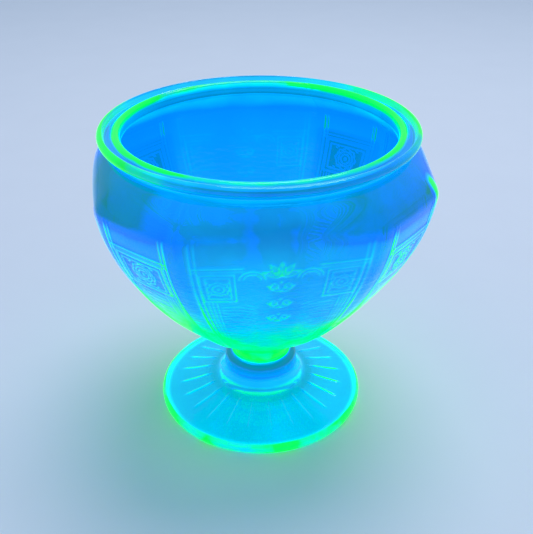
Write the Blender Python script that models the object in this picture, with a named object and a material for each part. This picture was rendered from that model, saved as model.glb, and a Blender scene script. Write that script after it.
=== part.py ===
"""A footed candy dish of pressed uranium glass, without its lid.

The bowl is round at the neck and at the stem, and between them its plan is a square with broad
cut corners: four wide panels that face +X, +Y, -X and -Y, and four narrow ones between them. It
stands on a round ribbed foot. Units are metres, +Z is up, and the origin is the centre of the
surface that the foot stands on.
"""

import math

import bmesh
import bpy

# Driving dimensions
HEIGHT = 0.1016
RIM_RADIUS = 0.0483
BELLY_RADIUS = 0.0505  # to the middle of a wide panel, where the bowl is widest
FOOT_RADIUS = 0.0355
WALL = 0.0033
GAP = 0.0003  # between neighbouring solids
SEGMENTS = 72  # round every turned piece, so that each panel's corners fall on one

# The plan of the bowl
WIDE_HALF_ANGLE = math.radians(30)
CORNER_SHARPNESS = 60  # power of the rounded polygon, higher is sharper
PANEL_FLATNESS = 0.7  # 1 would make the panels flat, and 0 the bowl round
PANELS_START = 0.021  # height at which the bowl's plan is still round
PANELS_FULL = 0.0795
SHOULDER_FULL = 0.087  # above this the plan turns round again
NECK_HEIGHT = 0.0967

# The bowl's outer and inner curves, each a superellipse below the belly
BELLY_HEIGHT = 0.0880
OUTER_BOTTOM = 0.0230
OUTER_POWERS = (1.55, 1.85)
INNER_BOTTOM = 0.0310
INNER_POWERS = (1.7, 2.0)
NECK_RADIUS = 0.0456
MOUTH_RADIUS = 0.0417

# Heights at which one sub-part ends and the next begins
FOOT_TOP = 0.0185
COLLAR_TOP = 0.0249
BASE_TOP = 0.0337
WALL_TOP = 0.0840

# The stem, narrow above the foot and wider under the bowl
COLLAR_RADIUS = 0.0112
COLLAR_CHAMFER = 0.0002
WAIST_RADIUS = 0.0090
WAIST_HEIGHT = 0.0207

# The foot: a dome in the middle of a ribbed disc that rests on a flat ring near its edge
DOME_RADIUS = 0.0172
DOME_EDGE_HEIGHT = 0.0080
DOME_FLANK = (0.0047, 0.0080)  # radii of the hollow curve from the dome's edge up to the stem
DOME_SHOULDER = ((0.0120, 0.0172), (0.0105, FOOT_TOP))
RECESS_HEIGHT = 0.0030
RECESS_EDGE = (0.0295, 0.0014)
RESTING_RING = (0.0308, 0.0339)
FOOT_EDGE = (0.0015, 0.0021)  # radii of the rounded edge, half of its height
RIB_COUNT = 24
RIB_HEIGHT = 0.0006
RIB_INNER_RADIUS = 0.0185
RIB_OUTER_RADIUS = 0.0290
DISC_SLOPE = ((RIB_OUTER_RADIUS, 0.0049), (0.0265, 0.0054), (0.0225, 0.0064), (0.0190, 0.0075))

# The rim: a round bead outside, a ledge for a lid, and a lip round the mouth
BEAD_RADIUS = 0.0014
LEDGE_HEIGHT = 0.0999
LEDGE_INNER_RADIUS = 0.0447
LEDGE_OUTER_RADIUS = 0.0464
LIP_RADIUS = 0.0012
LIP_DROP = 0.0017  # from the top of the rim down to the middle of the lip's curve
NECK_TAPER = (0.0002, 0.0010)


def clear_scene():
    for obj in list(bpy.data.objects):
        bpy.data.objects.remove(obj, do_unlink=True)


def glass(name, colour, glow):
    """A Principled glass that gives off some of its green light itself."""
    material = bpy.data.materials.new(name)
    material.use_nodes = True
    shader = material.node_tree.nodes["Principled BSDF"]
    shader.inputs["Base Color"].default_value = (*colour, 1)
    shader.inputs["Roughness"].default_value = 0.06
    shader.inputs["Metallic"].default_value = 0
    shader.inputs["IOR"].default_value = 1.52
    shader.inputs["Transmission Weight"].default_value = 0.85
    shader.inputs["Emission Color"].default_value = (0.05, 1, 0.35, 1)
    shader.inputs["Emission Strength"].default_value = glow
    material.diffuse_color = (*colour, 1)
    return material


def ramp(value, start, end):
    """0 at start, 1 at end, with no kink at either."""
    share = min(max((value - start) / (end - start), 0), 1)
    return share * share * (3 - 2 * share)


def panel_share(height):
    """How far the plan has turned from round (0) to panelled (PANEL_FLATNESS) at this height."""
    below = ramp(height, PANELS_START, PANELS_FULL)
    above = ramp(height, NECK_HEIGHT, SHOULDER_FULL)
    return PANEL_FLATNESS * below * above


def panel_plan(angle):
    """Radius of the rounded eight-sided plan, in units of the distance to a wide panel."""
    corner = 1 / math.cos(WIDE_HALF_ANGLE)
    narrow = corner * math.cos(math.pi / 4 - WIDE_HALF_ANGLE)
    total = 0
    for side in range(8):
        distance = 1 if side % 2 == 0 else narrow
        total += max(math.cos(angle - side * math.pi / 4) / distance, 0) ** CORNER_SHARPNESS
    return total ** (-1 / CORNER_SHARPNESS)


def belly_curve(height, bottom, radius, neck, powers):
    """Radius of the bowl's outline at a height: a superellipse below the belly, an ellipse above."""
    if height < BELLY_HEIGHT:
        depth = (BELLY_HEIGHT - height) / (BELLY_HEIGHT - bottom)
        return radius * max(1 - depth ** powers[0], 0) ** (1 / powers[1])
    rise = min((height - BELLY_HEIGHT) / (NECK_HEIGHT - BELLY_HEIGHT), 1)
    return neck + (radius - neck) * math.sqrt(1 - rise * rise)


def outer_radius(height):
    return belly_curve(height, OUTER_BOTTOM, BELLY_RADIUS, NECK_RADIUS, OUTER_POWERS)


def inner_radius(height):
    return belly_curve(height, INNER_BOTTOM, BELLY_RADIUS - WALL, MOUTH_RADIUS, INNER_POWERS)


def between(start, end, count):
    """count values from start to end, both included."""
    return [start + (end - start) * step / (count - 1) for step in range(count)]


def outline(radius_at, heights):
    return [(radius_at(height), height) for height in heights]


def arc(centre, radii, start, end, count):
    """Points on an ellipse round centre, from one angle in degrees to another."""
    return [
        (
            centre[0] + radii[0] * math.cos(math.radians(angle)),
            centre[1] + radii[1] * math.sin(math.radians(angle)),
        )
        for angle in between(start, end, count)
    ]


def panelled(point):
    """Moves a point of a round bowl to the panelled plan."""
    angle = math.atan2(point.y, point.x)
    scale = 1 + (panel_plan(angle) - 1) * panel_share(point.z)
    point.x *= scale
    point.y *= scale


def ribbed(point):
    """Raises a point of the foot's upper side where a rib runs."""
    radius = math.hypot(point.x, point.y)
    angle = math.atan2(point.y, point.x)
    on_rib = abs(math.sin(angle * RIB_COUNT / 2)) < 0.01
    if on_rib and RIB_INNER_RADIUS < radius < RIB_OUTER_RADIUS and point.z > RECESS_HEIGHT:
        point.z += RIB_HEIGHT


def turned(name, points, material, reshape=None):
    """Spins an outline of (radius, height) points round Z into one closed solid.

    An outline that starts and ends on the axis closes there, and any other closes on itself.
    """
    mesh = bpy.data.meshes.new(name)
    shape = bmesh.new()
    verts = [shape.verts.new((radius, 0, height)) for radius, height in points]
    edges = [shape.edges.new(pair) for pair in zip(verts, verts[1:])]
    if points[0][0] > 0:
        edges.append(shape.edges.new((verts[-1], verts[0])))
    bmesh.ops.spin(
        shape,
        geom=verts + edges,
        cent=(0, 0, 0),
        axis=(0, 0, 1),
        angle=math.tau,
        steps=SEGMENTS,
        use_merge=True,
    )
    bmesh.ops.remove_doubles(shape, verts=shape.verts, dist=1e-6)
    if reshape:
        for vert in shape.verts:
            reshape(vert.co)
    bmesh.ops.recalc_face_normals(shape, faces=shape.faces)
    shape.to_mesh(mesh)
    shape.free()
    mesh.shade_smooth()
    mesh.set_sharp_from_angle(angle=math.radians(35))
    mesh.materials.append(material)
    obj = bpy.data.objects.new(name, mesh)
    bpy.context.collection.objects.link(obj)
    return obj


def make_foot_disc(material):
    """The flat outer part of the foot: a resting ring below, radial ribs above, a round edge."""
    inner = DOME_RADIUS + GAP
    underside = [(inner, RECESS_HEIGHT), RECESS_EDGE] + [(radius, 0) for radius in RESTING_RING]
    edge = arc((FOOT_RADIUS - FOOT_EDGE[0], FOOT_EDGE[1]), FOOT_EDGE, -60, 80, 5)
    upper = list(DISC_SLOPE) + [(inner, DOME_EDGE_HEIGHT)]
    turned("foot_disc", underside + edge + upper, material, ribbed)


def make_foot_dome(material):
    """The raised middle of the foot, up to the stem."""
    shallow = [(0, RECESS_HEIGHT + GAP), (DOME_RADIUS, RECESS_HEIGHT)]
    flank = arc((DOME_RADIUS, DOME_EDGE_HEIGHT + DOME_FLANK[1]), DOME_FLANK, 270, 180, 5)
    turned("foot_dome", shallow + flank + list(DOME_SHOULDER) + [(0, FOOT_TOP)], material)


def make_stem_collar(material):
    """The short solid stem, narrow where it meets the foot and wider under the bowl."""
    bottom = FOOT_TOP + GAP
    hollow = (COLLAR_RADIUS + COLLAR_CHAMFER - WAIST_RADIUS, 0.0036)
    swell = arc((WAIST_RADIUS + hollow[0], WAIST_HEIGHT), hollow, 215, 120, 5)
    edge = [(COLLAR_RADIUS, COLLAR_TOP - 2 * COLLAR_CHAMFER)]
    top = [(COLLAR_RADIUS - COLLAR_CHAMFER, COLLAR_TOP), (0, COLLAR_TOP)]
    points = [(0, bottom), (WAIST_RADIUS + GAP, bottom)] + swell + edge + top
    turned("stem_collar", points, material)


def make_bowl_base(material):
    """The thick bottom of the bowl, with the rounded floor of the inside."""
    bottom = COLLAR_TOP + GAP
    outer = outline(outer_radius, between(bottom + WALL / 4, BASE_TOP, 6))
    inner = outline(inner_radius, between(BASE_TOP, INNER_BOTTOM, 5))
    points = [(0, bottom), (COLLAR_RADIUS - COLLAR_CHAMFER, bottom)] + outer + inner
    turned("bowl_base", points, material, panelled)


def make_bowl_wall(material):
    """The panelled wall from the base up to the shoulder."""
    bottom = BASE_TOP + GAP
    outer = outline(outer_radius, between(bottom, WALL_TOP, 10))
    inner = outline(inner_radius, between(WALL_TOP, bottom, 10))
    turned("bowl_wall", outer + inner, material, panelled)


def make_shoulder(material):
    """The plain band that closes the panels in to the round neck."""
    bottom = WALL_TOP + GAP
    top = NECK_HEIGHT - GAP
    outer = outline(outer_radius, between(bottom, top, 7))
    inner = outline(inner_radius, between(top, bottom, 7))
    turned("shoulder", outer + inner, material, panelled)


def make_rim(material):
    """The rolled rim with the ledge on which a lid would sit."""
    centre = (RIM_RADIUS - BEAD_RADIUS, HEIGHT - BEAD_RADIUS)
    bead = arc(centre, (BEAD_RADIUS, BEAD_RADIUS), -90, 100, 9)
    taper = (NECK_RADIUS - NECK_TAPER[0], NECK_HEIGHT + NECK_TAPER[1])
    ledge = [(LEDGE_OUTER_RADIUS, LEDGE_HEIGHT), (LEDGE_INNER_RADIUS, LEDGE_HEIGHT)]
    lip = arc((MOUTH_RADIUS + LIP_RADIUS, HEIGHT - LIP_DROP), (LIP_RADIUS, LIP_RADIUS), 60, 180, 5)
    outer = [(NECK_RADIUS, NECK_HEIGHT), taper]
    turned("rim", outer + bead + ledge + lip + [(MOUTH_RADIUS, NECK_HEIGHT)], material)


def main():
    clear_scene()
    makers = (
        ("foot", (0.10, 0.72, 0.90), 0.25, (make_foot_disc, make_foot_dome)),
        ("stem", (0.05, 0.90, 0.45), 0.60, (make_stem_collar, make_bowl_base)),
        ("bowl", (0.08, 0.60, 0.92), 0.20, (make_bowl_wall, make_shoulder)),
        ("rim", (0.06, 0.85, 0.70), 0.40, (make_rim,)),
    )
    for part, colour, glow, functions in makers:
        for make in functions:
            make(glass(f"uranium_glass_{part}", colour, glow))


main()
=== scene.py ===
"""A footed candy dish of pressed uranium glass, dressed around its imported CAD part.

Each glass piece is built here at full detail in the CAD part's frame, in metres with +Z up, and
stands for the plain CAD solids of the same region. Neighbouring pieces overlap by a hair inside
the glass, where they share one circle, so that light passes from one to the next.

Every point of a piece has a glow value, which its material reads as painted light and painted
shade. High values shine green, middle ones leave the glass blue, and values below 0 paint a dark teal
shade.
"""

import math

import bpy
import numpy as np
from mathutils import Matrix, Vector


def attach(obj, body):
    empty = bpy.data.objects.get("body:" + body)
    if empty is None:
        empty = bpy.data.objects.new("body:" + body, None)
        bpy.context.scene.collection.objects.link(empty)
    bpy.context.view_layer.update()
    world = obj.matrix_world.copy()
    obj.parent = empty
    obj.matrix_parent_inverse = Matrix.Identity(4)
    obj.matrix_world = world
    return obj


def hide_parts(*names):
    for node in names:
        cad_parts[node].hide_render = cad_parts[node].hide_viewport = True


MM = 0.001
DEGREE = math.radians(1)
EIGHTH_TURN = math.pi / 4
QUARTER_TURN = math.pi / 2

# Driving dimensions: the CAD part's, with the height and the belly a hair smaller, to stay inside
# its box, and with lower ribs
HEIGHT = 101.57 * MM
RIM_RADIUS = 48.3 * MM
BELLY_RADIUS = 50.45 * MM
FOOT_RADIUS = 35.5 * MM
WALL = 3.3 * MM
WIDE_HALF_ANGLE = 30 * DEGREE
CORNER_SHARPNESS = 60
PANEL_FLATNESS = 0.7
PANELS_START = 21.0 * MM
PANELS_FULL = 79.5 * MM
SHOULDER_FULL = 87.0 * MM
NECK_HEIGHT = 96.7 * MM
BELLY_HEIGHT = 88.0 * MM
OUTER_BOTTOM = 23.0 * MM
OUTER_POWERS = (1.55, 1.85)
OUTER_START = 0.16  # how far along its curve the outside of the bowl leaves the stem
INNER_BOTTOM = 31.0 * MM
INNER_POWERS = (1.7, 2.0)
NECK_RADIUS = 45.6 * MM
MOUTH_RADIUS = 41.7 * MM
BEAD_RADIUS = 1.4 * MM
RIB_COUNT = 24
RIB_HEIGHT = 0.28 * MM
RIB_HALF_WIDTH = 0.6 * MM

# The shared circles where one piece of glass meets the next, as (radius, height)
FOOT_TO_STEM = (9.6 * MM, 18.62 * MM)
STEM_TO_BOWL = (10.9 * MM, 25.05 * MM)
OVERLAP = 0.12 * MM

# How many points there are round a piece
COLUMNS = 720
INNER_COLUMNS = COLUMNS // 4
STEM_COLUMNS = COLUMNS // 2

# The pressed pattern
RIDGE = 0.27 * MM  # how far the pattern stands out
PATTERN_LIMIT = 1.15  # where lines cross, they rise no higher than this many ridges
BORDER_HEIGHT = 80.0 * MM  # top line of every panel's frame
MEDALLION_DEPTH = 7.6 * MM  # from the border down the wall to a medallion's middle
PATTERN_RADIUS = 47.5 * MM  # turns angles round the axis into widths across a panel
WIDE_LINES = (26.6 * DEGREE, 25.1 * DEGREE)  # a wide panel's two side lines, from its middle
NARROW_LINES = (11.4 * DEGREE, 10.0 * DEGREE)  # a narrow panel's
LOW_SIDES = 0.25  # the share of their height that the side lines keep at the stem
PAIR_ANGLE = 19.6 * DEGREE  # from the middle of a wide panel to each of its two medallions
SEAM_ANGLE = 60 * DEGREE  # two mould seams, here and opposite
RIM_SEAM = 0.12 * MM  # how far the seams stand out on the rim
BOWL_SEAM = 0.35  # on the bowl, in units of RIDGE
FOOT_SEAM = 0.3  # on the foot, in units of RIB_HEIGHT

# The camera
CAMERA_DISTANCE = 218.0 * MM
CAMERA_HEIGHT = 180.2 * MM
CAMERA_PITCH = 30.68 * DEGREE
CAMERA_YAW = 0.545 * DEGREE
DISH_TURN = 6.7 * DEGREE  # how far the dish is turned from facing the camera
LENS = 51.3  # in millimetres, as the sensor's width is
SENSOR = 36.0

# Painted glow and shade on the shoulder, at angles round the axis from +X. The camera's side is at about
# -97 degrees
BRIGHT_CORNER = -30 * DEGREE  # the corner that glows
DARK_CORNER = -152 * DEGREE  # the shaded corner, on the other side
DARK_PANEL = -50 * DEGREE  # the narrow panel beside the bright corner, a little less shaded
BRIGHT_REACH = (0.97, 0.995)  # cosines at which a place's effect starts and is full
DARK_REACH = (0.86, 0.97)

# How much painted glow the parts of the bowl get, and how much painted shade takes away
PLAIN_GLOW = 0.2
LOWER_GLOW = 0.18  # added below the shoulder
BOTTOM_GLOW = 0.48  # added towards the stem
LOW_CORNER_GLOW = 0.08  # added near the corners, low down
CORNER_GLOW = 0.9  # added on the bright corner
LINE_GLOW = 0.25  # for the pressed lines everywhere
NARROW_LINE_GLOW = 0.32  # added for the lines on the narrow panels
BACK_LINE_GLOW = 0.53  # added for those on the narrow panels at the back
CORNER_LINE_GLOW = 0.45  # added for the lines near the corners, low down
BACK_LINE_LOSS = 0.2  # the share that all lines lose at the back
BACK_SHADE = 0.98  # taken off the narrow panels at the back, round their medallions
SHOULDER_SHADE = 0.78  # taken off at the shaded places of the shoulder
PANEL_SHADE = 0.85  # the dark panel's shade, as a share of the dark corner's
INSIDE_FLOOR_GLOW = 0.6  # added low down inside, most of it on the camera's left
INSIDE_MIDDLE_GLOW = 0.5  # at the very bottom of the inside
INSIDE_NECK_GLOW = 0.42  # added inside towards the neck
JOIN_GLOW = 0.9  # on the hidden face towards the stem
NECK_JOIN_GLOW = 0.3  # on the hidden face towards the rim

# Painted glow of the other pieces. Pairs are the amount everywhere and what the dish's two sides add to it
RIM_GLOW = (0.24, 0.12)
BEAD_GLOW = (0.05, 0.75)
LIP_GLOW = (0.45, 0.4)
RIM_JOIN_GLOW = 0.16
RIM_SIDE = 10 * DEGREE  # where the rim is brightest, here and opposite
STEM_GLOW = 1.0
FOOT_GLOW = 0.22
RIB_GLOW = (0.04, 0.6)
DOME_GLOW = 0.16  # added on the foot's dome
DOME_TOP_GLOW = 0.6  # added on top of it, where the stem stands
DOME_FOOT_SHADE = 0.22  # taken off where the dome leaves the foot
GROOVE_SHADE = 0.6  # taken off in the groove under the stem
UNDERSIDE_GLOW = 0.1
RESTING_RING_GLOW = 0.6  # added at the outside of the resting ring
FOOT_EDGE_GLOW = 0.3
FOOT_TIP_GLOW = 0.5  # added on the outermost part of the edge

# What a material makes of the glow value: painted green light where it is high, painted teal shade below 0
GREEN_FROM = 0.42
GREEN_FULL = 0.82
TEAL_FULL = -0.5
ZERO_LIGHT = 0.19  # light given off where the glow value is 0
SHADED_LIGHT = 0.12  # and how much more for each 1 that it is below 0

PALE_BLUE_GLASS = (0.25, 0.88, 1.0)
DEEP_BLUE_GLASS = (0.12, 0.44, 1.0)
# Tint of the glass where green light is painted on it
PAINTED_GLOW_TINT = (0.0, 0.85, 0.006)
# Tint of the glass where dark teal shade is painted on it
PAINTED_SHADE_TINT = (0.0, 0.09, 0.09)
# Colours of the painted light: azure, neon green, and the teal light given off in the painted shade
AZURE_GLOW = (0.0, 0.72, 0.95)
NEON_GLOW = (0.0, 1.0, 0.06)
TEAL_GLOW = (0.0, 0.75, 0.60)
REFLECTION_TINT = (0.35, 0.80, 1.0)
GLASS_IOR = 1.52

FLOOR_DARK = (0.68, 0.71, 0.82)
FLOOR_PALE = (0.71, 0.74, 0.85)
FLOOR_ROUGHNESS = 0.7
FLOOR_HALF_SIZE = 6.0
FLOOR_DROP = 0.02 * MM  # keeps the foot and the floor from sharing a plane
SKY = (0.60, 0.80, 1.0)
SKY_STRENGTH = 0.6
LAMP_PLACE = (0.15, 0.25, 0.9)
LAMP_SIZE = 0.6
LAMP_POWER = 4.0


def ramp(value, start, end):
    """0 at start, 1 at end, with no kink at either. Start may be above end."""
    share = np.clip((value - start) / (end - start), 0, 1)
    return share * share * (3 - 2 * share)


def with_more(amounts, share):
    """The first amount, with this share of the second one added."""
    return amounts[0] + amounts[1] * share


def in_mm(*pairs):
    """(radius, height) pairs that are given in millimetres."""
    return [(radius * MM, height * MM) for radius, height in pairs]


def panel_share(height):
    """How far the plan has turned from round to panelled at this height."""
    below = ramp(height, PANELS_START, PANELS_FULL)
    above = ramp(height, NECK_HEIGHT, SHOULDER_FULL)
    return PANEL_FLATNESS * below * above


def panel_plan(angle):
    """Radius of the rounded eight-sided plan, in units of the distance to a wide panel."""
    corner = 1 / math.cos(WIDE_HALF_ANGLE)
    narrow = corner * math.cos(EIGHTH_TURN - WIDE_HALF_ANGLE)
    total = 0
    for side in range(8):
        distance = 1 if side % 2 == 0 else narrow
        facing = np.maximum(np.cos(angle - side * EIGHTH_TURN) / distance, 0)
        total = total + facing**CORNER_SHARPNESS
    return total ** (-1 / CORNER_SHARPNESS)


def belly(bottom, radius, powers, share):
    """A point of a bowl outline below the belly: share is 0 on the axis and 1 at the belly."""
    turn = share * QUARTER_TURN
    out = radius * np.sin(turn) ** (2 / powers[1])
    height = BELLY_HEIGHT - (BELLY_HEIGHT - bottom) * np.cos(turn) ** (2 / powers[0])
    return out, height


def shoulder(radius, neck, share):
    """A point of a bowl outline above the belly: share is 0 at the belly and 1 at the neck."""
    turn = share * QUARTER_TURN
    out = neck + (radius - neck) * np.cos(turn)
    return out, BELLY_HEIGHT + (NECK_HEIGHT - BELLY_HEIGHT) * np.sin(turn)


def evenly(points, spacing):
    """Points along a line of (radius, height) pairs, spaced as spacing(height) says."""
    points = np.array(points)
    steps = np.hypot(*np.diff(points, axis=0).T)
    middle = (points[1:, 1] + points[:-1, 1]) / 2
    travelled = np.concatenate([[0], np.cumsum(steps / spacing(middle))])
    wanted = np.linspace(0, travelled[-1], math.ceil(travelled[-1]) + 1)
    radii = np.interp(wanted, travelled, points[:, 0])
    heights = np.interp(wanted, travelled, points[:, 1])
    return list(zip(radii, heights))


def arc(centre, radii, start, end, count):
    """Points on an ellipse round centre, from one angle in degrees to another."""
    turns = np.radians(np.linspace(start, end, count))
    across, up = radii
    return [(centre[0] + across * math.cos(turn), centre[1] + up * math.sin(turn)) for turn in turns]


def ridge(offset, half_width):
    """A rounded ridge across offset, 1 at its crest."""
    return np.clip(1 - (offset / half_width) ** 2, 0, 1) ** 1.2


def off_wide_panel(angle):
    """Angle from the middle of the nearest wide panel, signed."""
    return np.mod(angle + EIGHTH_TURN, QUARTER_TURN) - EIGHTH_TURN


def off_narrow_panel(angle):
    """Angle from the middle of the nearest narrow panel, signed."""
    return np.mod(angle, QUARTER_TURN) - EIGHTH_TURN


def frame_lines(across, along, half_across, half_along):
    """The two nested lines round a medallion."""
    outer = np.maximum(np.abs(across) - half_across, np.abs(along) - half_along)
    return ridge(outer, 0.42 * MM) + 0.8 * ridge(outer + 1.25 * MM, 0.38 * MM)


def rosette(across, along, size, ring_shares):
    """Rings round a button, with a scalloped outer ring and a leaf curl towards each corner."""
    radius = np.hypot(across, along)
    turn = np.arctan2(along, across)
    line = 0.34 * MM
    button = 0.9 * ridge(radius, 0.20 * size)
    rings = sum(ridge(radius - share * size, line) for share in ring_shares)
    petals = ridge(radius - (0.84 + 0.05 * np.cos(8 * turn)) * size, line)
    corner = np.hypot(np.abs(across) - 0.98 * size, np.abs(along) - 0.98 * size)
    inside = ramp(np.maximum(np.abs(across), np.abs(along)), 1.0 * size, 0.94 * size)
    curls = ridge(corner - 0.24 * size, 0.06 * size) + 0.8 * ridge(corner, 0.12 * size)
    return button + rings + petals + curls * inside


def leaf(across, along, centre, length, width, lean):
    """A pointed leaf with a midrib, lying at an angle from straight up."""
    x = across - centre[0]
    y = along - centre[1]
    up = -y * math.cos(lean) + x * math.sin(lean)
    side = x * math.cos(lean) + y * math.sin(lean)
    share = np.clip(up / length, 0, 1)
    half = width * np.sin(math.pi * share**0.8)
    on = (up > 0) & (up < length)
    edge = ridge(np.abs(side) - half, 0.28 * MM)
    midrib = 0.7 * ridge(side, 0.22 * MM)
    return np.where(on, np.maximum(edge, midrib), 0)


def central_spray(across, along):
    """The middle of a wide panel: a fan of leaves between two arches, and a beaded stem below."""
    fan_foot = (0, 3.4 * MM)
    total = 0 * across
    for lean in (-70, -36, 0, 36, 70):
        total = total + leaf(across, along, fan_foot, 5.4 * MM, 0.85 * MM, lean * DEGREE)
    for row in range(6):
        bead = 5.6 * MM + row * 3.6 * MM
        total = total + ridge(np.hypot(across, along - bead), 0.65 * MM)
        if row % 2 == 0:
            off_loop = np.hypot(np.abs(across) - 1.9 * MM, along - bead - 1.6 * MM)
            total = total + ridge(off_loop - 1.0 * MM, 0.34 * MM)
        else:
            for lean in (-58, 58):
                total = total + leaf(across, along, (0, bead), 4.4 * MM, 0.8 * MM, lean * DEGREE)
    off_arch = np.hypot(np.abs(across) - 7.6 * MM, along - 4.6 * MM)
    arches = ridge(off_arch - 3.4 * MM, 0.4 * MM) + ridge(off_arch - 2.3 * MM, 0.3 * MM)
    return total + arches * ramp(along, 4.8 * MM, 3.8 * MM)


def contour_lines(across, along):
    """A comb of fine, shallow curved lines, which stands for a panel's lower leaves."""
    spacing = 1.5 * MM
    bend = along - 0.045 / MM * across**2
    return ridge(np.mod(bend, spacing) - spacing / 2, 0.42 * MM)


def side_lines(off_middle, places, along):
    """The two lines down each side of a panel, with three more inside them lower down."""
    outer, inner = places
    lines = ridge(off_middle - outer, 0.55 * DEGREE) + 0.8 * ridge(off_middle - inner, 0.5 * DEGREE)
    low = ramp(along, 13.4 * MM, 14.2 * MM)
    for step in (1.4, 2.8, 4.2):
        lines = lines + 0.7 * low * ridge(off_middle - inner + step * DEGREE, 0.4 * DEGREE)
    return lines


def panel_pattern(angle, height, along):
    """Height of the pressed pattern, in units of RIDGE, on the outside of the bowl.

    along is how far a point lies down the wall from the border line.
    """
    wide = off_wide_panel(angle)
    narrow = off_narrow_panel(angle)
    off_wide = np.abs(wide)
    off_narrow = np.abs(narrow)

    sides = side_lines(off_wide, WIDE_LINES, along) + side_lines(off_narrow, NARROW_LINES, along)
    below_shoulder = ramp(along, -8.0 * MM, -6.5 * MM)
    above_stem = ramp(height, 29.0 * MM, 40.0 * MM)
    total = sides * below_shoulder * (LOW_SIDES + (1 - LOW_SIDES) * above_stem)

    border = ridge(along, 0.4 * MM) + 0.8 * ridge(along - 1.2 * MM, 0.36 * MM)
    on_wide = ramp(off_wide, 26.9 * DEGREE, 26.5 * DEGREE)
    beside_spray = ramp(off_wide, 11.0 * DEGREE, 12.2 * DEGREE)
    on_narrow = ramp(off_narrow, 11.7 * DEGREE, 11.3 * DEGREE)
    total = total + border * (on_wide * beside_spray + on_narrow)

    from_middle = along - MEDALLION_DEPTH
    across = narrow * PATTERN_RADIUS
    total = total + frame_lines(across, from_middle, 7.6 * MM, 5.6 * MM) * on_narrow
    total = total + rosette(across, from_middle, 4.4 * MM, (0.38, 0.61))
    across = (off_wide - PAIR_ANGLE) * PATTERN_RADIUS
    total = total + frame_lines(across, from_middle, 4.2 * MM, 5.4 * MM)
    total = total + rosette(across, from_middle, 3.1 * MM, (0.48,))
    total = total + central_spray(wide * PATTERN_RADIUS, along)

    below_medallions = ramp(along, 14.2 * MM, 15.4 * MM) * ramp(height, 34.0 * MM, 44.0 * MM)
    between_sides = ramp(off_narrow, 5.2 * DEGREE, 4.6 * DEGREE)
    total = total + 0.55 * contour_lines(0 * narrow, along) * below_medallions * between_sides
    inside_sides = ramp(off_wide, 20.3 * DEGREE, 19.7 * DEGREE)
    beside_stem = ramp(off_wide, 6.5 * DEGREE, 9.0 * DEGREE)
    comb = contour_lines((off_wide - 16 * DEGREE) * PATTERN_RADIUS, along)
    return total + 0.5 * comb * below_medallions * inside_sides * beside_stem


def seam(angle):
    """1 along the two mould seams."""
    off = np.mod(angle - SEAM_ANGLE + QUARTER_TURN, math.pi) - QUARTER_TURN
    return ridge(off, 0.6 * DEGREE)


def ring_angles(count):
    """Evenly spaced angles once round the axis."""
    return np.arange(count) * math.tau / count


def ring_points(angle, radius, height):
    """Rows of x, y, z round the axis. The radius and the height may vary with the angle."""
    return np.stack([radius * np.cos(angle), radius * np.sin(angle), 0 * angle + height], axis=1)


def round_ring(radius, height, count, glow=0.0, relief=None):
    """A circle of points, each moved out by relief(angle), with one glow value."""
    angle = ring_angles(count)
    out = radius + (relief(angle) if relief else 0 * angle)
    return ring_points(angle, out, height), 0 * angle + glow


def panelled_ring(radius, height, count):
    """The points of the bowl's plan at this height, where it is radius wide at the wide panels."""
    angle = ring_angles(count)
    out = radius * (1 + (panel_plan(angle) - 1) * panel_share(height))
    return ring_points(angle, out, height)


def axis_point(height, glow=0.0):
    """A ring of one point, which closes a mesh on the axis."""
    return np.array([[0.0, 0.0, height]]), np.array([glow])


def grid_normals(grid):
    """Normals that point away from the axis, of rows of rings that go upwards."""
    along = np.gradient(grid, axis=0)
    around = np.roll(grid, -1, axis=1) - np.roll(grid, 1, axis=1)
    normal = np.cross(around, along)
    return normal / np.linalg.norm(normal, axis=2, keepdims=True)


def mesh_object(name, points, faces, glow):
    """A closed mesh with smooth faces and a glow value at each point."""
    mesh = bpy.data.meshes.new(name)
    mesh.from_pydata(points, [], faces)
    mesh.update()
    mesh.shade_smooth()
    values = mesh.attributes.new("glow", "FLOAT", "POINT")
    values.data.foreach_set("value", np.array(glow, dtype=np.float32))
    piece = bpy.data.objects.new(name, mesh)
    bpy.context.collection.objects.link(piece)
    return piece


def stacked(name, rings):
    """Joins rings of points, outside first and upwards, into one closed mesh.

    Each ring is (points, glow), with the points as rows of x, y, z. A ring of one point closes an
    end on the axis. A ring may have a whole number of times fewer points than the one before.
    """
    points = np.concatenate([ring for ring, _ in rings])
    glow = np.concatenate([value for _, value in rings])
    starts = np.cumsum([0] + [len(ring) for ring, _ in rings])
    faces = []
    for index in range(len(rings) - 1):
        low, high = starts[index], starts[index + 1]
        low_count, high_count = len(rings[index][0]), len(rings[index + 1][0])
        count = max(low_count, high_count)
        if low_count == high_count:
            for k in range(count):
                after = (k + 1) % count
                faces.append((low + k, low + after, high + after, high + k))
        elif low_count == 1:
            faces += [(low, high + (k + 1) % count, high + k) for k in range(count)]
        elif high_count == 1:
            faces += [(low + k, low + (k + 1) % count, high) for k in range(count)]
        else:
            share = low_count // high_count
            for k in range(high_count):
                edge = [low + (k * share + step) % low_count for step in range(share + 1)]
                faces.append((*edge, high + (k + 1) % high_count, high + k))
    return mesh_object(name, points.tolist(), faces, glow)


def closed_tube(name, rings):
    """Joins rings of equal counts round on themselves; the last ring repeats the first."""
    count = len(rings[0][0])
    rows = len(rings) - 1
    points = np.concatenate([ring for ring, _ in rings[:-1]])
    glow = np.concatenate([value for _, value in rings[:-1]])
    faces = []
    for row in range(rows):
        low, high = row * count, (row + 1) % rows * count
        for k in range(count):
            after = (k + 1) % count
            faces.append((low + k, low + after, high + after, high + k))
    return mesh_object(name, points.tolist(), faces, glow)


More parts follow.
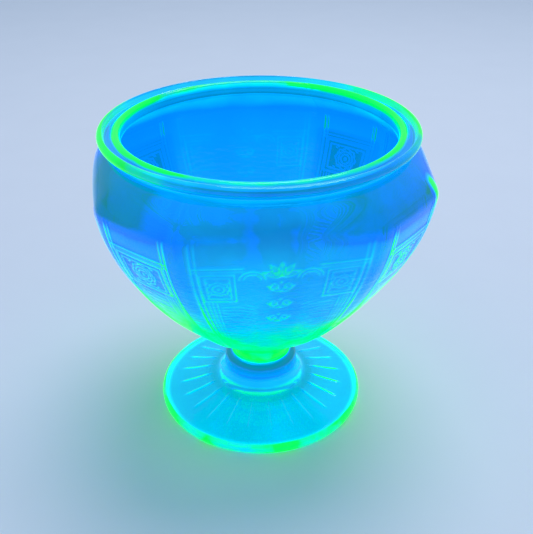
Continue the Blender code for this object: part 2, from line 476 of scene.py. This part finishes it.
def bowl_outline():
    """Points up the outside of the bowl, closest together where the pattern is finest."""
    outline = [belly(OUTER_BOTTOM, BELLY_RADIUS, OUTER_POWERS, s) for s in np.linspace(OUTER_START, 1, 400)]
    outline += [shoulder(BELLY_RADIUS, NECK_RADIUS, s) for s in np.linspace(0.01, 1, 60)]

    def spacing(height):
        detail = np.where(height > 62 * MM, 0.46 * MM, 0.62 * MM)
        detail = np.where(height > BORDER_HEIGHT + 4 * MM, 1.0 * MM, detail)
        return np.where(height < 34 * MM, 1.1 * MM, detail)

    return np.array(evenly(outline, spacing))


def bowl_glow(angle, height, pattern):
    """Glow of the outside of the bowl, as the photo shows it."""
    off_wide = np.abs(off_wide_panel(angle))
    on_narrow = ramp(off_wide, 30 * DEGREE, 33 * DEGREE)
    behind = 0.5 + 0.5 * np.sin(angle + DISH_TURN)
    near_corner = np.exp(-(((off_wide - WIDE_HALF_ANGLE) / (6 * DEGREE)) ** 2))
    low_corner = near_corner * ramp(height, 76 * MM, 50 * MM)

    # Painted glow on the pressed lines, the plain wall, the low corners and towards the stem
    lit = LINE_GLOW + NARROW_LINE_GLOW * on_narrow + BACK_LINE_GLOW * on_narrow * behind
    lines = pattern * (lit + CORNER_LINE_GLOW * low_corner) * (1 - BACK_LINE_LOSS * behind)
    body = PLAIN_GLOW + LOWER_GLOW * ramp(height, 90 * MM, 80 * MM)
    bottom = BOTTOM_GLOW * ramp(height, 63 * MM, 39 * MM)
    glow = body + lines + LOW_CORNER_GLOW * low_corner + bottom

    # Painted glow on the bright corner; painted shade round the back medallions and at two places of the
    # shoulder
    on_corner = ridge(off_wide - WIDE_HALF_ANGLE, 4.5 * DEGREE)
    on_corner = on_corner * ramp(height, 82 * MM, 88 * MM) * ramp(height, 95 * MM, 91 * MM)
    bright = on_corner * ramp(np.cos(angle - BRIGHT_CORNER), *BRIGHT_REACH)
    dim = behind * ramp(off_wide, 29 * DEGREE, 35 * DEGREE)
    dim = dim * ramp(height, 60 * MM, 66 * MM) * ramp(height, 82.5 * MM, 80 * MM)
    dark_corner = ramp(np.cos(angle - DARK_CORNER), *DARK_REACH)
    dark_panel = PANEL_SHADE * ramp(np.cos(angle - DARK_PANEL), *DARK_REACH)
    shade = (dark_corner + dark_panel) * ramp(height, 84 * MM, 89 * MM) * (1 - bright)
    return glow + CORNER_GLOW * bright - BACK_SHADE * dim - SHOULDER_SHADE * shade


def bowl_inside():
    """Rings down the smooth inside of the bowl, from the neck to just above its bottom."""
    inner_belly = BELLY_RADIUS - WALL
    outline = [shoulder(inner_belly, MOUTH_RADIUS, s) for s in np.linspace(1, 0, 16)]
    down = np.linspace(1, 0.02, 60)[1:]
    outline += [belly(INNER_BOTTOM, inner_belly, INNER_POWERS, s) for s in down]
    # Painted glow low down inside, most of it on the camera's left, and towards the neck
    leftwards = 0.6 - 0.4 * np.cos(ring_angles(INNER_COLUMNS) + DISH_TURN)
    rings = []
    for radius, height in outline:
        floor = INSIDE_FLOOR_GLOW * leftwards * ramp(height, 47 * MM, 37 * MM)
        neck = INSIDE_NECK_GLOW * ramp(height, 87 * MM, 94 * MM)
        rings.append((panelled_ring(radius, height, INNER_COLUMNS), floor + neck))
    return rings


def make_bowl():
    """The bowl with its pressed pattern outside and a smooth inside."""
    outline = bowl_outline()
    steps = np.hypot(*np.diff(outline, axis=0).T)
    travelled = np.concatenate([[0], np.cumsum(steps)])
    border = np.interp(BORDER_HEIGHT, outline[:, 1], travelled)
    along = (border - travelled)[:, None] + 0 * ring_angles(COLUMNS)[None, :]
    angle = ring_angles(COLUMNS)[None, :] + 0 * along
    height = outline[:, 1][:, None] + 0 * along

    pattern = np.clip(panel_pattern(angle, height, along), 0, PATTERN_LIMIT)
    below_neck = ramp(height, NECK_HEIGHT, NECK_HEIGHT - 1.0 * MM)
    seam_line = BOWL_SEAM * seam(angle) * ramp(height, BORDER_HEIGHT, BELLY_HEIGHT) * below_neck
    grid = np.stack([panelled_ring(radius, level, COLUMNS) for radius, level in outline])
    grid = grid + grid_normals(grid) * (RIDGE * (pattern + seam_line))[:, :, None]
    glow = bowl_glow(angle, height, pattern)

    radius, bottom = STEM_TO_BOWL
    top = NECK_HEIGHT + OVERLAP
    rings = [axis_point(bottom - OVERLAP, JOIN_GLOW)]
    rings.append(round_ring(radius - OVERLAP, bottom - OVERLAP, COLUMNS, JOIN_GLOW))
    rings.append(round_ring(radius, bottom, COLUMNS, JOIN_GLOW))
    rings += [(row, value) for row, value in zip(grid, glow) if row[0, 2] < NECK_HEIGHT]
    rings.append(round_ring(NECK_RADIUS - 2 * OVERLAP, top, COLUMNS, NECK_JOIN_GLOW))
    rings.append(round_ring(MOUTH_RADIUS + 2 * OVERLAP, top, INNER_COLUMNS, NECK_JOIN_GLOW))
    rings += bowl_inside()
    rings.append(axis_point(INNER_BOTTOM, INSIDE_MIDDLE_GLOW))
    return stacked("bowl_glass", rings)


def rim_outline():
    """Points over the rim from the neck outside: the bead, the lid's ledge, the lip and the mouth."""
    neck_steps = ((-0.15, 0.5), (-0.1, 1.1), (0.6, 1.7))
    neck = [(NECK_RADIUS + out * MM, NECK_HEIGHT + up * MM) for out, up in neck_steps]
    bead_middle = (RIM_RADIUS - BEAD_RADIUS, HEIGHT - BEAD_RADIUS)
    bead = arc(bead_middle, (BEAD_RADIUS, BEAD_RADIUS), -80, 95, 16)
    ledge = in_mm((46.5, 100.3), (46.3, 99.95), (46.0, 99.9), (45.3, 99.9), (44.8, 99.92), (44.4, 100.1))
    lip_middle = (MOUTH_RADIUS + 1.15 * MM, HEIGHT - 1.7 * MM)
    lip = arc(lip_middle, (1.15 * MM, 1.2 * MM), 55, 180, 14)
    mouth = [(MOUTH_RADIUS, height * MM) for height in (99.0, 98.3, 97.6)]
    return neck + bead + ledge + lip + mouth


def make_rim():
    """The rolled rim with the ledge for a lid."""
    # Painted glow on the rim, its bead and its lip, stronger at the dish's two sides
    side = np.cos(ring_angles(COLUMNS) - RIM_SIDE) ** 2

    def glow_at(radius, height):
        on_bead = ramp(radius, 46.3 * MM, 47.2 * MM)
        on_lip = ramp(radius, 44.3 * MM, 43.6 * MM) * ramp(height, 98.6 * MM, 100.2 * MM)
        bead = with_more(BEAD_GLOW, side**2) * on_bead
        return with_more(RIM_GLOW, side) + bead + with_more(LIP_GLOW, side) * on_lip

    def seam_line(angle):
        return RIM_SEAM * seam(angle)

    bottom = NECK_HEIGHT - OVERLAP
    rings = [round_ring(MOUTH_RADIUS + 5 * OVERLAP, bottom, COLUMNS, RIM_JOIN_GLOW)]
    rings.append(round_ring(NECK_RADIUS - 2 * OVERLAP, bottom, COLUMNS, RIM_JOIN_GLOW))
    rings.append(round_ring(NECK_RADIUS, NECK_HEIGHT, COLUMNS, RIM_JOIN_GLOW))
    for radius, height in rim_outline():
        rings.append(round_ring(radius, height, COLUMNS, glow_at(radius, height), seam_line))
    rings.append(round_ring(MOUTH_RADIUS, NECK_HEIGHT, COLUMNS, RIM_JOIN_GLOW))
    rings.append(rings[0])
    return closed_tube("rim_glass", rings)


def make_stem():
    """The short solid stem between the foot and the bowl."""
    swell = arc((11.4 * MM, 20.7 * MM), (2.4 * MM, 3.6 * MM), 212, 122, 18)
    edge = arc((10.5 * MM, 24.25 * MM), (0.8 * MM, 0.5 * MM), -40, 60, 8)
    low_radius, low_height = FOOT_TO_STEM
    high_radius, high_height = STEM_TO_BOWL
    bottom = low_height - OVERLAP
    top = high_height + OVERLAP
    outline = [(low_radius - OVERLAP, bottom), FOOT_TO_STEM, *swell, *edge]
    outline += [STEM_TO_BOWL, (high_radius - OVERLAP, top)]
    # The whole stem has painted green glow
    rings = [axis_point(bottom, STEM_GLOW)]
    rings += [round_ring(radius, height, STEM_COLUMNS, STEM_GLOW) for radius, height in outline]
    rings.append(axis_point(top, STEM_GLOW))
    return stacked("stem_glass", rings)


def foot_top():
    """Points inwards over the foot: its ribbed slope, the dome's flank and the dome's rounded top."""
    slope = in_mm((33.1, 4.27), (31.0, 4.6), (29.0, 4.9), (26.5, 5.4), (22.5, 6.4), (19.0, 7.5))
    flank = arc((17.2 * MM, 16.0 * MM), (4.7 * MM, 8.0 * MM), 268, 182, 22)
    cap = in_mm((12.4, 16.7), (12.0, 17.3), (11.3, 17.9), (10.4, 18.4))

    def spacing(height):
        return np.where(height < 8.5 * MM, 0.75 * MM, 0.6 * MM)

    return evenly(slope + flank + cap + [FOOT_TO_STEM], spacing)


def foot_top_ring(radius, height):
    """One ring of the top of the foot, with its ribs and seams raised."""
    angle = ring_angles(COLUMNS)
    rib_step = math.tau / RIB_COUNT
    off_rib = np.mod(angle + rib_step / 2, rib_step) - rib_step / 2
    ends = ramp(radius, 16.4 * MM, 19.0 * MM) * ramp(radius, 29.6 * MM, 27.0 * MM)
    rib = ridge(off_rib, RIB_HALF_WIDTH / radius) * ends
    seam_line = FOOT_SEAM * seam(angle) * ramp(radius, 19 * MM, 16 * MM) * (height < 17 * MM)
    points = ring_points(angle, radius, height + RIB_HEIGHT * (rib + seam_line))

    # Painted glow on the ribs, more at the dish's two sides, and on the dome; painted shade at the dome's
    # foot and in the groove
    side = np.cos(angle + DISH_TURN) ** 4
    on_top = ramp(radius, 12.4 * MM, 10.5 * MM)
    on_dome = ramp(radius, 19.0 * MM, 15.0 * MM)
    groove = ramp(radius, 12.9 * MM, 12.2 * MM) * ramp(radius, 10.0 * MM, 11.0 * MM)
    dome_foot = ramp(radius, 20.0 * MM, 17.6 * MM) * ramp(radius, 15.0 * MM, 16.2 * MM)
    glow = FOOT_GLOW + with_more(RIB_GLOW, side) * rib + DOME_GLOW * on_dome + DOME_TOP_GLOW * on_top
    glow = glow * (1 - 0.9 * dome_foot) - DOME_FOOT_SHADE * dome_foot
    return points, glow * (1 - groove) - GROOVE_SHADE * groove


def make_foot():
    """The round foot: a flat resting ring, a rounded edge with painted green glow, ribs, and a dome in the
    middle.
    """
    under = in_mm((17.2, 2.4), (21.0, 1.8), (25.0, 1.1), (28.0, 0.55), (29.6, 0.28))
    under += in_mm((30.6, 0.12), (31.4, 0.03), (32.0, 0), (33.7, 0))
    edge_radii = (1.6 * MM, 2.1 * MM)
    edge = arc((FOOT_RADIUS - edge_radii[0], edge_radii[1]), edge_radii, -85, 85, 18)
    rings = [axis_point(2.6 * MM, UNDERSIDE_GLOW)]
    for radius, height in under:
        glow = UNDERSIDE_GLOW + RESTING_RING_GLOW * float(ramp(radius, 32.6 * MM, 33.6 * MM))
        rings.append(round_ring(radius, height, COLUMNS, glow))
    for radius, height in edge:
        glow = FOOT_EDGE_GLOW + FOOT_TIP_GLOW * float(ramp(radius, 33.9 * MM, 34.8 * MM))
        rings.append(round_ring(radius, height, COLUMNS, glow))
    rings += [foot_top_ring(radius, height) for radius, height in foot_top()]
    join_radius, join_height = FOOT_TO_STEM
    top = join_height + OVERLAP
    rings.append(round_ring(join_radius - OVERLAP, top, COLUMNS, DOME_TOP_GLOW))
    rings.append(axis_point(top, DOME_TOP_GLOW))
    return stacked("foot_glass", rings)


class NodeTree:
    """Short names for the few kinds of node that the materials need."""

    def __init__(self, material):
        material.use_nodes = True
        self.tree = material.node_tree
        self.shader = self.tree.nodes["Principled BSDF"]
        self.output = self.tree.nodes["Material Output"]

    def add(self, kind):
        return self.tree.nodes.new(kind)

    def link(self, source, target):
        self.tree.links.new(source, target)

    def place(self, value, socket):
        """Sets a socket to a number or a colour, or links another node's output to it."""
        if isinstance(value, (int, float)):
            socket.default_value = value
        elif isinstance(value, tuple):
            socket.default_value = (*value, 1)
        else:
            self.link(value, socket)

    def math(self, operation, *values):
        """A Math node's result."""
        node = self.add("ShaderNodeMath")
        node.operation = operation
        for value, socket in zip(values, node.inputs):
            self.place(value, socket)
        return node.outputs[0]

    def mix(self, factor, first, second):
        """A colour between two others: the first at factor 0, the second at 1."""
        node = self.add("ShaderNodeMix")
        node.data_type = "RGBA"
        self.place(factor, node.inputs[0])
        self.place(first, node.inputs[6])
        self.place(second, node.inputs[7])
        return node.outputs[2]

    def spread(self, value, low, high, to_low, to_high):
        """Moves a value's range from low..high to to_low..to_high, and clamps it there."""
        node = self.add("ShaderNodeMapRange")
        self.place(value, node.inputs["Value"])
        node.inputs["From Min"].default_value = low
        node.inputs["From Max"].default_value = high
        node.inputs["To Min"].default_value = to_low
        node.inputs["To Max"].default_value = to_high
        return node.outputs["Result"]

    def noise(self, scale, detail, stretch=(1, 1, 1)):
        """Noise that is fixed to the object, so that it doesn't slide with the view."""
        coordinates = self.add("ShaderNodeTexCoord")
        mapping = self.add("ShaderNodeMapping")
        mapping.inputs["Scale"].default_value = stretch
        self.link(coordinates.outputs["Object"], mapping.inputs["Vector"])
        node = self.add("ShaderNodeTexNoise")
        self.link(mapping.outputs["Vector"], node.inputs["Vector"])
        node.inputs["Scale"].default_value = scale
        node.inputs["Detail"].default_value = detail
        return node.outputs["Fac"]

    def bump(self, height, strength, distance, normal=None):
        """A normal tilted by a height, on top of another normal if one is given."""
        node = self.add("ShaderNodeBump")
        node.inputs["Strength"].default_value = strength
        node.inputs["Distance"].default_value = distance
        self.link(height, node.inputs["Height"])
        if normal is not None:
            self.link(normal, node.inputs["Normal"])
        return node.outputs["Normal"]

    def height_above_floor(self):
        """Z of the point that is shaded, in the object's own coordinates: 0 is where the dish stands."""
        place = self.add("ShaderNodeSeparateXYZ")
        self.link(self.add("ShaderNodeTexCoord").outputs["Object"], place.inputs[0])
        return place.outputs["Z"]


def uneven_glow(nodes, cloud, edge_glow):
    """The mesh's glow value made cloudy, with some painted light added where the glass turns away."""
    attribute = nodes.add("ShaderNodeAttribute")
    attribute.attribute_name = "glow"
    edges = nodes.add("ShaderNodeLayerWeight")
    edges.inputs["Blend"].default_value = 0.5
    turned_away = nodes.math("POWER", edges.outputs["Facing"], 5.0)
    cloudy = nodes.math("MULTIPLY", attribute.outputs["Fac"], nodes.spread(cloud, 0.3, 0.7, 0.75, 1.2))
    return nodes.math("ADD", cloudy, nodes.math("MULTIPLY", turned_away, edge_glow))


def glass_relief(nodes, cloud, ripple):
    """A slow waviness all over, with finer ripples on everything below the shoulder."""
    ripples = nodes.noise(scale=520, detail=2, stretch=(0.5, 0.5, 1.7))
    patterned = nodes.spread(nodes.height_above_floor(), 81 * MM, 74 * MM, 0.0, 1.0)
    relief = nodes.math("MULTIPLY", ripples, patterned)
    waves = nodes.bump(cloud, strength=0.12, distance=0.4 * MM)
    return nodes.bump(relief, strength=ripple, distance=0.3 * MM, normal=waves)


def uranium_glass(name, tint, absorbed, density, edge_glow, ripple):
    """Blue-tinted glass that gives off painted green light where its glow value is high.

    Where the glow value is below 0 a dark teal shade is painted on the glass, which gives off little light.
    """
    material = bpy.data.materials.new(name)
    nodes = NodeTree(material)
    shader = nodes.shader
    cloud = nodes.noise(scale=60, detail=3)
    streaks = nodes.noise(scale=160, detail=4, stretch=(0.6, 0.6, 2.2))

    glow = uneven_glow(nodes, cloud, edge_glow)
    # The glow value paints green light where it is high, and a dark teal shade where it is below 0
    green = nodes.spread(glow, GREEN_FROM, GREEN_FULL, 0.0, 1.0)
    dark = nodes.spread(glow, 0.0, TEAL_FULL, 0.0, 1.0)
    body = nodes.mix(dark, nodes.mix(green, tint, PAINTED_GLOW_TINT), PAINTED_SHADE_TINT)
    light = nodes.mix(dark, nodes.mix(green, AZURE_GLOW, NEON_GLOW), TEAL_GLOW)
    least = nodes.math("MULTIPLY_ADD", glow, -SHADED_LIGHT, ZERO_LIGHT)
    nodes.place(body, shader.inputs["Base Color"])
    nodes.place(light, shader.inputs["Emission Color"])
    nodes.place(nodes.math("MAXIMUM", glow, least), shader.inputs["Emission Strength"])

    nodes.place(nodes.spread(streaks, 0.3, 0.7, 0.01, 0.05), shader.inputs["Roughness"])
    nodes.place(GLASS_IOR, shader.inputs["IOR"])
    nodes.place(REFLECTION_TINT, shader.inputs["Specular Tint"])
    nodes.place(1.0, shader.inputs["Transmission Weight"])
    nodes.place(glass_relief(nodes, cloud, ripple), shader.inputs["Normal"])

    volume = nodes.add("ShaderNodeVolumeAbsorption")
    nodes.place(absorbed, volume.inputs["Color"])
    nodes.place(density, volume.inputs["Density"])
    nodes.link(volume.outputs["Volume"], nodes.output.inputs["Volume"])
    return material


def dress(piece, material, slot, *nodes):
    """Gives a piece its material, hangs it under the root body, and hides the CAD nodes that it stands for.
    """
    piece.data.materials.append(material)
    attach(piece, "root")
    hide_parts(*nodes)


def make_floor():
    """The plain pale floor."""
    size = FLOOR_HALF_SIZE
    mesh = bpy.data.meshes.new("floor")
    corners = [(-size, -size, 0), (size, -size, 0), (size, size, 0), (-size, size, 0)]
    mesh.from_pydata(corners, [], [(0, 1, 2, 3)])
    floor = bpy.data.objects.new("floor", mesh)
    floor.location.z = -FLOOR_DROP
    bpy.context.collection.objects.link(floor)
    material = bpy.data.materials.new("pale_floor")
    nodes = NodeTree(material)
    grain = nodes.noise(scale=30, detail=4)
    nodes.place(nodes.mix(grain, FLOOR_DARK, FLOOR_PALE), nodes.shader.inputs["Base Color"])
    nodes.place(FLOOR_ROUGHNESS, nodes.shader.inputs["Roughness"])
    mesh.materials.append(material)


def aim(obj, direction):
    """Turns a lamp or a camera to look along a direction."""
    obj.rotation_euler = Vector(direction).to_track_quat("-Z", "Y").to_euler()


def make_light():
    """A pale blue sky all round, and one soft round lamp overhead."""
    world = bpy.data.worlds.new("studio")
    bpy.context.scene.world = world
    world.use_nodes = True
    background = world.node_tree.nodes["Background"]
    background.inputs["Color"].default_value = (*SKY, 1)
    background.inputs["Strength"].default_value = SKY_STRENGTH
    data = bpy.data.lights.new("overhead", "AREA")
    data.shape = "DISK"
    data.size = LAMP_SIZE
    data.energy = LAMP_POWER
    lamp = bpy.data.objects.new("overhead", data)
    lamp.location = LAMP_PLACE
    aim(lamp, Vector((0, 0, HEIGHT / 2)) - Vector(LAMP_PLACE))
    bpy.context.collection.objects.link(lamp)


def make_camera():
    """The camera that the photo was taken with, as fitted to the dish's outlines."""
    data = bpy.data.cameras.new("camera")
    data.sensor_fit = "HORIZONTAL"
    data.sensor_width = SENSOR
    data.lens = LENS
    data.clip_start = 0.01
    camera = bpy.data.objects.new("camera", data)
    side = -QUARTER_TURN - DISH_TURN
    place = Vector((math.cos(side), math.sin(side), 0)) * CAMERA_DISTANCE
    camera.location = place + Vector((0, 0, CAMERA_HEIGHT))
    heading = QUARTER_TURN - DISH_TURN - CAMERA_YAW
    level = math.cos(CAMERA_PITCH)
    aim(camera, (level * math.cos(heading), level * math.sin(heading), -math.sin(CAMERA_PITCH)))
    bpy.context.collection.objects.link(camera)
    bpy.context.scene.camera = camera


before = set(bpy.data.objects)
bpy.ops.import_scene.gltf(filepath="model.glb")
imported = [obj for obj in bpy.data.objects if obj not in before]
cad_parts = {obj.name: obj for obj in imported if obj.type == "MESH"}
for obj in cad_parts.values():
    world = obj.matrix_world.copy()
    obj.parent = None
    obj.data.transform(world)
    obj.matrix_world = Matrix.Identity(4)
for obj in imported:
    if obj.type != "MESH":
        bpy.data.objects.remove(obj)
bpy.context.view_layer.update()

bowl_look = uranium_glass(
    "uranium_glass_bowl",
    tint=DEEP_BLUE_GLASS,
    absorbed=(0.0, 0.77, 0.985),
    density=1300,
    edge_glow=0.15,
    ripple=0.9,
)
rim_look = uranium_glass(
    "uranium_glass_rim",
    tint=PALE_BLUE_GLASS,
    absorbed=(0.0, 0.72, 0.90),
    density=1400,
    edge_glow=0.2,
    ripple=0.08,
)
stem_look = uranium_glass(
    "uranium_glass_stem",
    tint=PALE_BLUE_GLASS,
    absorbed=(0.05, 0.85, 0.3),
    density=150,
    edge_glow=0.0,
    ripple=0.08,
)
foot_look = uranium_glass(
    "uranium_glass_foot",
    tint=PALE_BLUE_GLASS,
    absorbed=(0.0, 0.93, 0.99),
    density=620,
    edge_glow=0.2,
    ripple=0.08,
)

dress(make_bowl(), bowl_look, "bowl", "bowl_base", "bowl_wall", "shoulder")
dress(make_rim(), rim_look, "rim", "rim")
dress(make_stem(), stem_look, "stem", "stem_collar")
dress(make_foot(), foot_look, "foot", "foot_disc", "foot_dome")

make_floor()
make_light()
make_camera()
bpy.context.scene.view_settings.view_transform = "Standard"
